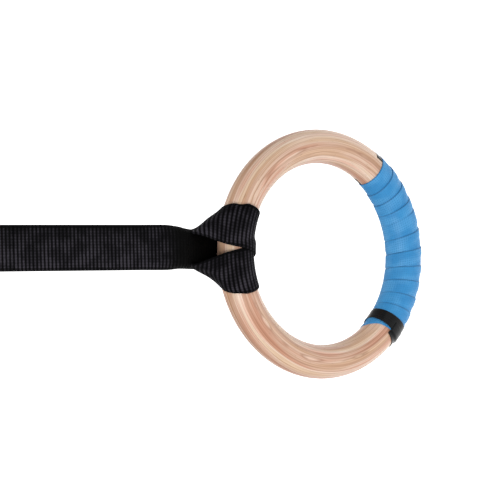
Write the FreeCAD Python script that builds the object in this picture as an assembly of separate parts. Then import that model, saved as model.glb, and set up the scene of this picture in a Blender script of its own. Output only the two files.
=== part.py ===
"""Wooden gymnastics ring, hung by a girth hitch from a webbing strap with a cam buckle.

Millimetres. +Z is up and the strap hangs along Z. +X runs across the webbing and lies in the ring's
plane. +Y is the ring's axis and points to the back. The origin is on the axis of the beam that the top loop
goes over. Heights are measured up from the ring's centre, and each one stands on the one below it.
"""

import FreeCAD, Part
import math
import os

# Ring
RING_RADIUS = 101.5        # ring's centre to the tube's centre
TUBE_RADIUS = 16.0
RING_OFFSET = 7.0          # the ring's centre hangs this far to -X of the strap

# Tapes on the tube, by ring angle: 0 is the lowest point, positive towards +X
TAPE_START = -44.0
TAPE_END = 51.0
TAPE_THICKNESS = 1.5
FINISH_SPAN = 7.0          # degrees of finishing tape beyond the grip tape's first end
FINISH_THICKNESS = 1.0
START_SPAN = 4.0           # degrees of starting tape beyond the grip tape's last end
START_THICKNESS = 0.6
SKIN_GAP = 0.05            # between the tube and what is stuck to it

# Webbing
WEB_WIDTH = 40.0
WEB_THICKNESS = 1.8
LAYER_GAP = 0.1            # between two layers that lie on each other
BODY_GAP = 0.3             # between webbing and what moves against it

# Hitch
WRAP_SPAN = math.degrees(WEB_WIDTH / RING_RADIUS)      # ring angle that each wrap covers
WRAP_GAP = 0.1             # degrees between the middle of the hitch and a wrap
WRAP_NEAR = 72.0           # tube angle where a wrap leaves the near side
WRAP_FAR = 285.0           # tube angle where it becomes a leg on the far side
BAND_LOW_START = 0.6       # ring angle, from the middle of the hitch, of a band's inner edge
BAND_LOW_END = WRAP_SPAN - 2.0
BAND_HIGH = 8.0            # width of a band where it reaches the knot
KNOT_BOTTOM = RING_RADIUS + TUBE_RADIUS + 3.5          # lower edge of the bar that crosses behind the legs
KNOT_HEIGHT = KNOT_BOTTOM + 31.0
LEG_BEND = KNOT_HEIGHT + 4.0                           # where the legs start to lean towards the far side
LEG_BEND_RADIUS = WEB_WIDTH / 4
LEG_LEAN = (TUBE_RADIUS + WEB_THICKNESS) / (LEG_BEND - RING_RADIUS)      # slope of the legs down to the tube
SEAM_REACH = 3.2 * WEB_THICKNESS + 0.24                # half the gap that lets the legs fold at the tilt
HITCH_TOP = LEG_BEND + 6.0                             # end of the legs that ride with the hitch
TILT_AXIS = HITCH_TOP + SEAM_REACH
MIDDLE_BOTTOM = TILT_AXIS + SEAM_REACH
TWIST_SEAM = MIDDLE_BOTTOM + 86.0
TWIST_GAP = 0.6

# Cam buckle
FRAME_BOTTOM = TWIST_SEAM + 114.0
FRAME_TOP = FRAME_BOTTOM + 46.0
FRAME_INSIDE = WEB_WIDTH + 2.4
SHEET = 2.0                # thickness of the buckle's steel
CHEEK_DEPTH = 17.5         # how far a cheek stands forward
ANCHOR_HEIGHT = FRAME_TOP + 8.0
ANCHOR_RADIUS = 2.0
PIN_HEIGHT = FRAME_BOTTOM + 24.0
PIN_RADIUS = 2.5
PIN_FORWARD = 11.5         # pin's axis in front of the frame's middle
PIN_FIT = 0.05
HEAD_THICKNESS = 1.5
HEAD_OVERLAP = 1.5
CAM_HUB = 6.2
CAM_NOSE = 4.8
CAM_TOOTH = 0.7
CAM_TEETH = 6
TOOTH_FIRST = -60.0        # degrees, of the lowest tooth on the nose
TOOTH_LAST = 20.0
TOOTH_HALF = 0.09          # radians, half of a tooth's root
PAD_LENGTH = 27.0
PAD_THICKNESS = 3.0
PAD_LIP = 4.0              # how far the pad's end turns out
PAD_LEAN = 30.0            # degrees that the thumb pad stands out when the cam is shut
CAM_SIDE_GAP = 0.3
SPRING_WIRE = 0.5
SPRING_TURNS = 6.5
SPRING_GAP = 0.2           # between two turns
SPRING_LEG = 6.0
SPRING_LEG_WIRE = 0.96 * SPRING_WIRE      # the legs are drawn a hair thinner where they leave the coil
SPRING_BITE = 0.3             # how far a leg starts inside the coil's end
SPRING_NOTCH = 12.0

# Beam loop
BEAM_RADIUS = 25.0         # inside of the loop
STACK_TOP = ANCHOR_HEIGHT + 50.0                       # where the loop opens out of the sewn end
RING_DROP = STACK_TOP + BEAM_RADIUS + 37.0             # beam's axis down to the ring's centre
JOG_LENGTH = 8.0           # run over which a layer steps sideways
STITCH_LENGTH = 32.0
STITCH_WIDTH = 31.0
THREAD = 0.8
THREAD_HEIGHT = 0.35

# Spare strap, rolled up and tied
ROLL_RADIUS = 46.5
ROLL_CORE = 12.0
ROLL_FORWARD = ROLL_RADIUS + 13.5
ROLL_HEIGHT = STACK_TOP - 13.0
TIE_WIDTH = 16.0
TIE_THICKNESS = 2.0

RING_Z = -RING_DROP
HALF_LAYERS = (WEB_THICKNESS + LAYER_GAP) / 2      # a layer's middle, from the middle of the pair
HITCH_ANGLE = 180.0 - math.degrees(math.asin(RING_OFFSET / RING_RADIUS))
ACROSS = FreeCAD.Vector(1, 0, 0)
RING_AXIS = FreeCAD.Vector(0, 1, 0)
RING_CENTRE = FreeCAD.Vector(-RING_OFFSET, 0, RING_Z)


def above(height):
    """Row height of a level given above the ring's centre."""
    return RING_Z + height


def on_ring(angle, radius, y):
    """Point at a ring angle and a distance from the ring's axis."""
    a = math.radians(angle)
    return RING_CENTRE + FreeCAD.Vector(radius * math.sin(a), y, -radius * math.cos(a))


def tube_point(radius, tube_angle):
    """Point about the tube's centre at the ring's lowest place. 0 is outwards and 90 is the near side."""
    a = math.radians(tube_angle)
    out = RING_RADIUS + radius * math.cos(a)
    return RING_CENTRE + FreeCAD.Vector(0, -radius * math.sin(a), -out)


def tube_shell(inner, outer, tube_from, tube_to, ring_from, ring_to):
    """A skin on the tube between two tube angles and two ring angles."""
    middle = (tube_from + tube_to) / 2
    arcs = [
        Part.Arc(*(tube_point(r, a) for a in (tube_from, middle, tube_to))).toShape()
        for r in (inner, outer)
    ]
    ends = [Part.makeLine(tube_point(inner, a), tube_point(outer, a)) for a in (tube_from, tube_to)]
    return turned_section([arcs[0], ends[1], arcs[1], ends[0]], ring_from, ring_to)


def tube_sleeve(inner, outer, ring_from, ring_to):
    """A skin all round the tube between two ring angles."""
    discs = [Part.Face(Part.Wire(Part.makeCircle(r, tube_point(0, 0), ACROSS))) for r in (outer, inner)]
    whole, core = (turned_face(disc, ring_from, ring_to) for disc in discs)
    return whole.cut(core)


def turned_section(edges, ring_from, ring_to):
    """Revolves a closed section at the ring's lowest place over a span of ring angle."""
    return turned_face(Part.Face(Part.Wire(Part.__sortEdges__(edges))), ring_from, ring_to)


def turned_face(face, ring_from, ring_to):
    """Revolves a face at the ring's lowest place over a span of ring angle."""
    face.rotate(RING_CENTRE, RING_AXIS, -ring_from)
    return face.revolve(RING_CENTRE, RING_AXIS * -1, ring_to - ring_from)


def offset_corners(corners, distance):
    """Corners of a (y, z) line moved sideways by distance, mitred."""
    moved = []
    for i, (y, z) in enumerate(corners):
        normals = []
        for a, b in ((i - 1, i), (i, i + 1)):
            if 0 <= a and b < len(corners):
                dy, dz = corners[b][0] - corners[a][0], corners[b][1] - corners[a][1]
                length = math.hypot(dy, dz)
                normals.append((-dz / length, dy / length))
        ny, nz = sum(n[0] for n in normals), sum(n[1] for n in normals)
        size = math.hypot(ny, nz)
        ny, nz = ny / size, nz / size
        cosine = ny * normals[0][0] + nz * normals[0][1]
        moved.append((y + ny * distance / cosine, z + nz * distance / cosine))
    return moved


def turn_at(corners, i):
    """Signed turn of a (y, z) line at corner i, in radians."""
    (ay, az), (by, bz), (cy, cz) = corners[i - 1 : i + 2]
    turn = math.atan2(cz - bz, cy - by) - math.atan2(bz - az, by - ay)
    return (turn + math.pi) % (2 * math.pi) - math.pi


def rounded_edges(corners, radii, distance, x):
    """Edges of a (y, z) line moved sideways by distance, its corners rounded about their own centres."""
    shifted = [FreeCAD.Vector(x, y, z) for y, z in offset_corners(corners, distance)]
    edges, last = [], shifted[0]
    for i in range(1, len(shifted) - 1):
        turn = turn_at(corners, i)
        radius = radii[i - 1] - distance * math.copysign(1, turn)
        back = (shifted[i - 1] - shifted[i]).normalize()
        on = (shifted[i + 1] - shifted[i]).normalize()
        reach = radius * math.tan(abs(turn) / 2)
        start, stop = shifted[i] + back * reach, shifted[i] + on * reach
        inward = (back + on).normalize()
        middle = shifted[i] + inward * (radius / math.cos(turn / 2) - radius)
        if (start - last).Length > 1e-6:
            edges.append(Part.makeLine(last, start))
        edges.append(Part.Arc(start, middle, stop).toShape())
        last = stop
    edges.append(Part.makeLine(last, shifted[-1]))
    return edges


def ribbon(corners, radii, width=WEB_WIDTH, thickness=WEB_THICKNESS):
    """Webbing along a (y, z) line with rounded corners, centred on X = 0."""
    x = -width / 2
    sides = [rounded_edges(corners, radii, d, x) for d in (thickness / 2, -thickness / 2)]
    left, right = ([side[0].Vertexes[0].Point, side[-1].Vertexes[-1].Point] for side in sides)
    ends = [Part.makeLine(left[0], right[0]), Part.makeLine(left[1], right[1])]
    outline = Part.Wire(Part.__sortEdges__([*sides[0], *sides[1], *ends]))
    return Part.Face(outline).extrude(ACROSS * width)


def tangent_height(corner, centre, radius, side, height):
    """Where the line from a (y, z) corner that touches a circle reaches a height, and where it touches.

    side is -1 for the circle's near side.
    """
    dy, dz = corner[0] - centre[0], corner[1] - centre[1]
    reach = math.acos(radius / math.hypot(dy, dz))
    angle = math.atan2(dz, dy) + side * reach
    ty, tz = centre[0] + radius * math.cos(angle), centre[1] + radius * math.sin(angle)
    share = (height - corner[1]) / (tz - corner[1])
    return (corner[0] + (ty - corner[0]) * share, height), (ty, tz)


def slab(profile, width, x=None):
    """A (y, z) outline given thickness along X."""
    x = -width / 2 if x is None else x
    points = [FreeCAD.Vector(x, y, z) for y, z in [*profile, profile[0]]]
    return Part.Face(Part.makePolygon(points)).extrude(ACROSS * width)


def rod(radius, half_length, y, z):
    """Round bar along X."""
    return Part.makeCylinder(radius, 2 * half_length, FreeCAD.Vector(-half_length, y, z), ACROSS)


def riveted_rod(radius, y, z):
    """Round bar through both cheeks of the buckle, with a flat head outside each."""
    face = FRAME_INSIDE / 2 + SHEET + PIN_FIT
    solid = rod(radius, face + HEAD_THICKNESS, y, z)
    for x in (-face - HEAD_THICKNESS, face):
        place = FreeCAD.Vector(x, y, z)
        solid = solid.fuse(Part.makeCylinder(radius + HEAD_OVERLAP, HEAD_THICKNESS, place, ACROSS))
    return solid.removeSplitter()


def make_ring():
    """The wooden ring and the tapes wound on it."""
    inner = TUBE_RADIUS + SKIN_GAP
    finish_from = TAPE_START - FINISH_SPAN
    rim = (190.0, 395.0)           # the starting tape covers the back and the rim only
    return {
        "wood_ring": Part.makeTorus(RING_RADIUS, TUBE_RADIUS, RING_CENTRE, RING_AXIS),
        "grip_tape": tube_sleeve(inner, inner + TAPE_THICKNESS, TAPE_START, TAPE_END),
        "finishing_tape": tube_sleeve(inner, inner + FINISH_THICKNESS, finish_from, TAPE_START),
        "start_tape": tube_shell(inner, inner + START_THICKNESS, *rim, TAPE_END, TAPE_END + START_SPAN),
    }


def leg_line(side):
    """Upright part and lean of one leg in the hitch: its corner and where it touches the tube's far side."""
    layer = TUBE_RADIUS + BODY_GAP + WEB_THICKNESS / 2
    radius = layer if side < 0 else layer + WEB_THICKNESS + BODY_GAP
    tube = (0.0, above(RING_RADIUS))
    corner = (side * HALF_LAYERS, above(LEG_BEND + side * HALF_LAYERS * LEG_LEAN / 2))
    touch = tangent_height(corner, tube, radius, -1, above(KNOT_BOTTOM))[1]
    return corner, touch


def make_wraps():
    """The two turns of webbing round the tube, and the bands that lead from them up to the knot."""
    inner = TUBE_RADIUS + BODY_GAP
    outer = inner + WEB_THICKNESS
    rim = RING_RADIUS + outer * math.cos(math.radians(WRAP_NEAR)) + BODY_GAP
    lift = rim / math.cos(math.radians(WRAP_SPAN / 2))     # a band's straight end clears the round rim
    near = outer * math.sin(math.radians(WRAP_NEAR))
    parts = {}
    for name, side in (("right", -1), ("left", 1)):
        ends = sorted((HITCH_ANGLE + side * WRAP_GAP, HITCH_ANGLE + side * WRAP_SPAN))
        parts[f"{name}_wrap"] = tube_shell(inner, outer, WRAP_NEAR, WRAP_FAR, *ends)
        low = [
            on_ring(HITCH_ANGLE + side * angle, lift, -depth)
            for angle, depth in (
                (BAND_LOW_START, near), (BAND_LOW_START, near + WEB_THICKNESS),
                (BAND_LOW_END, near + WEB_THICKNESS), (BAND_LOW_END, near),
            )
        ]
        reach = (WEB_WIDTH / 2 - BAND_HIGH, WEB_WIDTH / 2 - BODY_GAP)
        depths = (2 * HALF_LAYERS + LAYER_GAP, 2 * HALF_LAYERS + LAYER_GAP + WEB_THICKNESS)
        high = [
            FreeCAD.Vector(-side * x, -depth, above(KNOT_HEIGHT))
            for x, depth in (
                (reach[0], depths[0]), (reach[0], depths[1]), (reach[1], depths[1]), (reach[1], depths[0]),
            )
        ]
        wires = [Part.makePolygon([*corners, corners[0]]) for corners in (low, high)]
        parts[f"{name}_band"] = Part.makeLoft(wires, True, True)
    return parts


def make_hitch():
    """Everything that turns with the girth hitch."""
    parts = make_wraps()
    lines = {}
    for name, side in (("front", -1), ("back", 1)):
        corner, touch = leg_line(side)
        top = (corner[0], above(HITCH_TOP))
        parts[f"{name}_leg_end"] = ribbon([top, corner, touch], [LEG_BEND_RADIUS - side * HALF_LAYERS])
        lines[name] = (corner, touch)
    (cy, cz), (ty, tz) = lines["back"]
    slope = (ty - cy) / (tz - cz)
    clear = WEB_THICKNESS / 2 + LAYER_GAP

    def behind(height, offset):
        """A (y, z) point behind the back leg at a height."""
        return (cy + slope * (above(height) - cz) + clear + offset, above(height))

    plate = [
        behind(KNOT_BOTTOM, 0), behind(KNOT_HEIGHT, 0),
        behind(KNOT_HEIGHT, WEB_THICKNESS), behind(KNOT_BOTTOM, WEB_THICKNESS),
    ]
    edge = WEB_WIDTH / 2 + BODY_GAP
    low_front = behind(KNOT_BOTTOM, -2 * WEB_THICKNESS)
    side_plate = [
        (-2 * HALF_LAYERS, above(KNOT_HEIGHT)), behind(KNOT_HEIGHT, WEB_THICKNESS),
        behind(KNOT_BOTTOM, WEB_THICKNESS), low_front,
    ]
    bar = slab(plate, 2 * edge)
    for x in (edge, -edge - WEB_THICKNESS):
        bar = bar.fuse(slab(side_plate, WEB_THICKNESS, x))
    parts["cross_bar"] = bar.removeSplitter()
    return parts


def make_middle():
    """The stretch of both legs between the tilt and the twist."""
    parts = {}
    for name, side in (("front", -1), ("back", 1)):
        y = side * HALF_LAYERS
        line = [(y, above(MIDDLE_BOTTOM)), (y, above(TWIST_SEAM))]
        parts[f"{name}_leg_middle"] = ribbon(line, [])
    return parts


def make_sewn_end():
    """The strap's end: two sewn layers, and the bend under them that holds the anchor bar."""
    bar_bend = ANCHOR_RADIUS + SKIN_GAP + WEB_THICKNESS / 2
    anchor = above(ANCHOR_HEIGHT)
    jog_top = anchor + bar_bend + JOG_LENGTH
    split = jog_top + JOG_LENGTH / 2
    half = [(HALF_LAYERS, split), (HALF_LAYERS, jog_top), (bar_bend, anchor + bar_bend)]
    turn = [(bar_bend, anchor - bar_bend), (-bar_bend, anchor - bar_bend)]
    line = [*half, *turn, *((-y, z) for y, z in reversed(half))]
    jog_radius = 2 * bar_bend
    radii = [jog_radius, jog_radius / 2, bar_bend, bar_bend, jog_radius / 2, jog_radius]
    parts = {"anchor_end": ribbon(line, radii)}
    for name, y in (("sewn_tail", HALF_LAYERS), ("sewn_front", -HALF_LAYERS)):
        parts[name] = ribbon([(y, split), (y, above(STACK_TOP))], [])
    return parts


def make_loop():
    """The strap over the beam, and the back leg that comes down from it behind the buckle."""
    bend = BEAM_RADIUS + WEB_THICKNESS / 2
    top = above(STACK_TOP)
    front = (-HALF_LAYERS, top)
    front_base = (-HALF_LAYERS, top + JOG_LENGTH)
    layers = ANCHOR_RADIUS + SKIN_GAP + 1.5 * WEB_THICKNESS      # the anchor's bend, and half of this leg
    back = (layers + 2 * LAYER_GAP + BODY_GAP, above(ANCHOR_HEIGHT) + JOG_LENGTH)
    low = [
        (back[0], above(FRAME_BOTTOM)),
        (HALF_LAYERS, above(FRAME_BOTTOM) - 3 * JOG_LENGTH),
        (HALF_LAYERS, above(TWIST_SEAM) + TWIST_GAP),
    ]
    front_top = tangent_height(front_base, (0.0, 0.0), bend, -1, bend)[0]
    back_top = tangent_height(back, (0.0, 0.0), bend, 1, bend)[0]
    levels = (top + JOG_LENGTH, back[1] + JOG_LENGTH)
    splits = [tangent_height(back, (0.0, 0.0), bend, 1, z)[0] for z in levels]
    over = [front, front_base, front_top, back_top, splits[0]]
    return {
        "beam_loop": ribbon(over, [2 * JOG_LENGTH, bend, bend]),
        "loop_leg": ribbon(splits, []),
        "back_leg": ribbon([splits[1], back, *low], 3 * [4 * JOG_LENGTH]),
    }


def make_stitching():
    """Box stitch with a cross through the two layers of the sewn end, raised on both faces."""
    face = 2 * HALF_LAYERS - LAYER_GAP / 2
    low = above(STACK_TOP) - STITCH_LENGTH - 2 * THREAD
    middle = FreeCAD.Vector(0, 0, low + STITCH_LENGTH / 2)
    lines = [(STITCH_WIDTH, 0, sign * STITCH_LENGTH / 2, 0) for sign in (-1, 1)]
    lines += [(STITCH_LENGTH - 2 * THREAD, sign * STITCH_WIDTH / 2, 0, 90) for sign in (-1, 1)]
    lean = math.degrees(math.atan2(STITCH_LENGTH, STITCH_WIDTH))
    lines += [(math.hypot(STITCH_WIDTH, STITCH_LENGTH) - 4 * THREAD, 0, 0, sign * lean) for sign in (-1, 1)]
    solid = None
    for y in (-face - THREAD_HEIGHT, face):
        for length, x, z, angle in lines:
            bar = Part.makeBox(length, THREAD_HEIGHT, THREAD, FreeCAD.Vector(-length / 2, y, -THREAD / 2))
            bar.rotate(FreeCAD.Vector(0, y, 0), RING_AXIS, angle)
            bar.translate(middle + FreeCAD.Vector(x, 0, z))
            solid = bar if solid is None else solid.fuse(bar)
    return solid.removeSplitter()


def make_frame():
    """The buckle's bent steel frame, and the bar that the sewn end goes round."""
    outside = FRAME_INSIDE + 2 * SHEET
    low, high = above(FRAME_BOTTOM), above(FRAME_TOP)
    anchor, pin = above(ANCHOR_HEIGHT), above(PIN_HEIGHT)
    ear = ANCHOR_RADIUS + 3 * HEAD_OVERLAP
    solid = Part.makeBox(outside, SHEET, high - low, FreeCAD.Vector(-outside / 2, -SHEET / 2, low))
    cheek = [
        (SHEET / 2, low), (-CHEEK_DEPTH / 2, low), (-CHEEK_DEPTH, pin - 2 * CAM_HUB),
        (-CHEEK_DEPTH, pin + CAM_HUB), (-ear, anchor + ear), (ear, anchor + ear), (ear, anchor - ear),
        (SHEET / 2, anchor - 2 * ear),
    ]
    for x in (-outside / 2, FRAME_INSIDE / 2):
        side = slab(cheek, SHEET, x)
        across = [e for e in side.Edges if abs(e.tangentAt(e.FirstParameter).x) > 0.9]
        front = [e for e in across if e.CenterOfMass.y < -SHEET]
        rear = [e for e in across if e.CenterOfMass.z > anchor and e not in front]
        side = side.makeFillet(ANCHOR_RADIUS * 1.5, front + rear)
        solid = solid.fuse(side)
    for radius, y, z in ((PIN_RADIUS, -PIN_FORWARD, pin), (ANCHOR_RADIUS, 0, anchor)):
        solid = solid.cut(rod(radius + PIN_FIT, outside, y, z))
    return {
        "buckle_frame": solid.removeSplitter(),
        "anchor_bar": riveted_rod(ANCHOR_RADIUS, 0, anchor),
        "cam_pin": riveted_rod(PIN_RADIUS, -PIN_FORWARD, pin),
    }


def make_cam():
    """The toothed cam with its thumb pad, and the torsion spring that shuts it."""
    y, z = -PIN_FORWARD, above(PIN_HEIGHT)
    width = FRAME_INSIDE - 2 * CAM_SIDE_GAP
    nose_y = y + PIN_FORWARD - SHEET / 2 - BODY_GAP - WEB_THICKNESS - BODY_GAP - CAM_TOOTH - CAM_NOSE
    nose_z = z - CAM_TOOTH * 2
    cam = rod(CAM_HUB, width / 2, y, z).fuse(rod(CAM_NOSE, width / 2, nose_y, nose_z))
    for i in range(CAM_TEETH):
        a = math.radians(TOOTH_FIRST + (TOOTH_LAST - TOOTH_FIRST) * i / (CAM_TEETH - 1))
        root = CAM_NOSE - CAM_TOOTH / 2
        tooth = [
            (nose_y + root * math.cos(a - TOOTH_HALF), nose_z + root * math.sin(a - TOOTH_HALF)),
            (nose_y + (CAM_NOSE + CAM_TOOTH) * math.cos(a), nose_z + (CAM_NOSE + CAM_TOOTH) * math.sin(a)),
            (nose_y + root * math.cos(a + TOOTH_HALF), nose_z + root * math.sin(a + TOOTH_HALF)),
        ]
        cam = cam.fuse(slab(tooth, width))
    lean = math.radians(PAD_LEAN)
    out = (-math.sin(lean), math.cos(lean))
    side = (-math.cos(lean), -math.sin(lean))

    def pad_point(along, outward):
        """A (y, z) point along the thumb pad and out from its middle line."""
        return (y + out[0] * along + side[0] * outward, z + out[1] * along + side[1] * outward)

    root = CAM_HUB - PAD_THICKNESS
    pad = slab(
        [pad_point(0, root), pad_point(PAD_LENGTH, root), pad_point(PAD_LENGTH + PAD_LIP, root + PAD_LIP),
         pad_point(PAD_LENGTH + PAD_LIP / 2, root + 1.5 * PAD_LIP),
         pad_point(PAD_LENGTH - PAD_LIP / 2, CAM_HUB), pad_point(0, CAM_HUB)],
        width,
    )
    cam = cam.fuse(pad)
    cam = cam.cut(rod(PIN_RADIUS + PIN_FIT, width, y, z))
    coil = PIN_RADIUS + PIN_FIT + 2 * SPRING_WIRE
    notch = Part.makeBox(
        SPRING_NOTCH, 3 * CAM_HUB, 2.6 * CAM_HUB,
        FreeCAD.Vector(-SPRING_NOTCH / 2, y - CAM_HUB + PAD_THICKNESS, z - 1.6 * CAM_HUB),
    )
    cam = cam.cut(notch).cut(rod(coil + SPRING_WIRE + CAM_SIDE_GAP, SPRING_NOTCH / 2, y, z))

    pitch = 2 * SPRING_WIRE + SPRING_GAP
    helix = Part.makeHelix(pitch, pitch * SPRING_TURNS, coil)
    helix.rotate(FreeCAD.Vector(), RING_AXIS, 90)
    helix.rotate(FreeCAD.Vector(), FreeCAD.Vector(0, 0, 1), 180)
    helix.translate(FreeCAD.Vector(pitch * SPRING_TURNS / 2, 0, 0))
    first, last = helix.Vertexes[0].Point, helix.Vertexes[-1].Point
    start = helix.Edges[0].tangentAt(helix.Edges[0].FirstParameter)
    profile = Part.Wire(Part.makeCircle(SPRING_WIRE, first, start))
    spring = Part.Wire(helix).makePipeShell([profile], True, True)
    for point in (first, last):     # both legs lead back, to the frame and to the pad's root
        root = point - RING_AXIS * SPRING_BITE
        spring = spring.fuse(Part.makeCylinder(SPRING_LEG_WIRE, SPRING_LEG, root, RING_AXIS))
    spring.translate(FreeCAD.Vector(0, y, z))
    return {"cam_lever": cam.removeSplitter(), "cam_spring": spring}


def make_spare():
    """The front leg through the buckle, the spare length rolled up, and the tie round it."""
    seam = above(TWIST_SEAM) + TWIST_GAP
    clamped = -SHEET / 2 - BODY_GAP - WEB_THICKNESS / 2
    bar_bend = ANCHOR_RADIUS + SKIN_GAP + WEB_THICKNESS / 2
    passing = -bar_bend - WEB_THICKNESS - BODY_GAP - LAYER_GAP
    low, high = above(FRAME_BOTTOM), above(PIN_HEIGHT) + JOG_LENGTH
    last = (passing, above(ANCHOR_HEIGHT) + JOG_LENGTH / 2)
    centre = (-ROLL_FORWARD, above(ROLL_HEIGHT))
    touch = tangent_height(last, centre, ROLL_RADIUS + LAYER_GAP + WEB_THICKNESS / 2, 1, centre[1])[1]
    line = [
        (-HALF_LAYERS, seam), (-HALF_LAYERS, low - 2 * JOG_LENGTH), (clamped, low - JOG_LENGTH / 2),
        (clamped, high), (passing, above(ANCHOR_HEIGHT) - JOG_LENGTH), last, touch,
    ]
    radii = [3 * JOG_LENGTH, 3 * JOG_LENGTH, JOG_LENGTH, JOG_LENGTH, JOG_LENGTH]
    roll = rod(ROLL_RADIUS, WEB_WIDTH / 2, *centre).cut(rod(ROLL_CORE, WEB_WIDTH, *centre))

    inside_x = WEB_WIDTH / 2 + 2 * BODY_GAP
    back = 2 * HALF_LAYERS + THREAD_HEIGHT + BODY_GAP
    front = centre[0] - TIE_THICKNESS / 2
    low_z = centre[1] - TIE_WIDTH / 2
    outer = Part.makeBox(
        2 * (inside_x + TIE_THICKNESS), back - front + TIE_THICKNESS, TIE_WIDTH,
        FreeCAD.Vector(-inside_x - TIE_THICKNESS, front, low_z),
    )
    inner = Part.makeBox(
        2 * inside_x, back - front - TIE_THICKNESS, TIE_WIDTH,
        FreeCAD.Vector(-inside_x, front + TIE_THICKNESS, low_z),
    )
    uprights = [e for e in outer.Edges if abs(e.tangentAt(e.FirstParameter).z) > 0.9]
    tie = outer.makeFillet(TIE_THICKNESS, uprights).cut(inner)
    return {"front_leg": ribbon(line, radii), "spare_roll": roll, "tie_band": tie}


def main():
    """Builds every node and writes one STEP file each."""
    os.makedirs("parts", exist_ok=True)
    nodes = {"box_stitch": make_stitching()}
    makers = (make_ring, make_hitch, make_middle, make_sewn_end, make_loop, make_frame, make_cam, make_spare)
    for group in makers:
        nodes.update(group())
    for name, shape in nodes.items():
        solid = shape.Solids[0] if len(shape.Solids) == 1 else shape
        solid.exportStep(f"parts/{name}.step")
        print(name, "valid" if solid.isValid() else "NOT VALID", len(solid.Solids), round(solid.Volume, 1))


main()
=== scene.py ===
"""Looks of a wooden gymnastics ring that hangs from a webbing strap by a girth hitch.

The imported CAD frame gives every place. The pieces here stand for its soft nodes and dress its hard ones.
Lengths in the classes are millimetres and are turned into metres where a vertex is placed.
"""

import logging
import math
from collections.abc import Callable, Sequence
from dataclasses import dataclass, field
from enum import Enum

import bmesh
import bpy
from mathutils import Matrix, Vector


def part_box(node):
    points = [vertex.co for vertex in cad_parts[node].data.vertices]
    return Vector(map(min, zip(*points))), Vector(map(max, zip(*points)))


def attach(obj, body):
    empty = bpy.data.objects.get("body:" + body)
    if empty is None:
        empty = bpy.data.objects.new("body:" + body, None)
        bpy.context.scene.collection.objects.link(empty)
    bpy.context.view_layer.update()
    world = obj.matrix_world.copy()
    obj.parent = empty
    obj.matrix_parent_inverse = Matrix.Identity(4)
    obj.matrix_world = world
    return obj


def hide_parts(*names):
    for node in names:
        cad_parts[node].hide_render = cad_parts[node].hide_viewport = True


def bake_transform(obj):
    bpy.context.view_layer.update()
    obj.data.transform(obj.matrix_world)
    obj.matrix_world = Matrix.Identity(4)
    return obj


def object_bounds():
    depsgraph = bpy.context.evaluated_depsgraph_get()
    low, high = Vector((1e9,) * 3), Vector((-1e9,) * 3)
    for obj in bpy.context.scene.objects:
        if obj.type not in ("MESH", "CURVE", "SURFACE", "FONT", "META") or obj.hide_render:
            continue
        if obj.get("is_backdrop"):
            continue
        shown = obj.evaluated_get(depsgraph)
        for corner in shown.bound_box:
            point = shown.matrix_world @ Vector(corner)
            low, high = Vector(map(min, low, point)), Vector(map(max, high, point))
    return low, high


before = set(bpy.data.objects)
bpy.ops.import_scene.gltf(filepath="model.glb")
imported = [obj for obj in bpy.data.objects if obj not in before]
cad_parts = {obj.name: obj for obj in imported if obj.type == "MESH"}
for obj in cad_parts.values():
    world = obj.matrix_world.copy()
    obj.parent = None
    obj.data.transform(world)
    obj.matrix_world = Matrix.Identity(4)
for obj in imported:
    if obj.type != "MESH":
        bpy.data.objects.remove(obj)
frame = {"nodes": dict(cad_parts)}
CAD_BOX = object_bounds()
LOG = logging.getLogger("ring")
MM = 0.001
WEAVE = "Weave"
PULLED_AND_SHADED = "PulledAndShaded"


class Body(str, Enum):
    """The rigid bodies that the pieces ride on."""

    STRAP = "strap"
    LEGS = "legs"
    HITCH = "hitch"
    RING = "ring"


class Lobe(int, Enum):
    """The two halves of the girth hitch, by the side of the strap that they stand on."""

    PLUS_X = 1
    MINUS_X = -1


# ---------------------------------------------------------------- small mathematics


def smooth(t: float) -> float:
    """Eases from 0 to 1 as t goes from 0 to 1."""
    t = min(1.0, max(0.0, t))
    return t * t * (3 - 2 * t)


def table(points: Sequence[tuple[float, float]], x: float) -> float:
    """Reads a table with straight lines between its rows.

    Args:
        points: Rows of (x, value), in rising x.
        x: Where to read it.

    Returns:
        The value, held level outside the table.
    """
    if x <= points[0][0]:
        return points[0][1]
    for (x0, y0), (x1, y1) in zip(points, points[1:]):
        if x <= x1:
            return y0 + (y1 - y0) * (x - x0) / (x1 - x0)
    return points[-1][1]


def rounded_table(points: Sequence[tuple[float, float]], x: float, reach: float) -> float:
    """Reads a table whose corners are rounded over a reach to each side."""
    return sum(table(points, x + reach * k / 4) for k in range(-4, 5)) / 9


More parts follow.
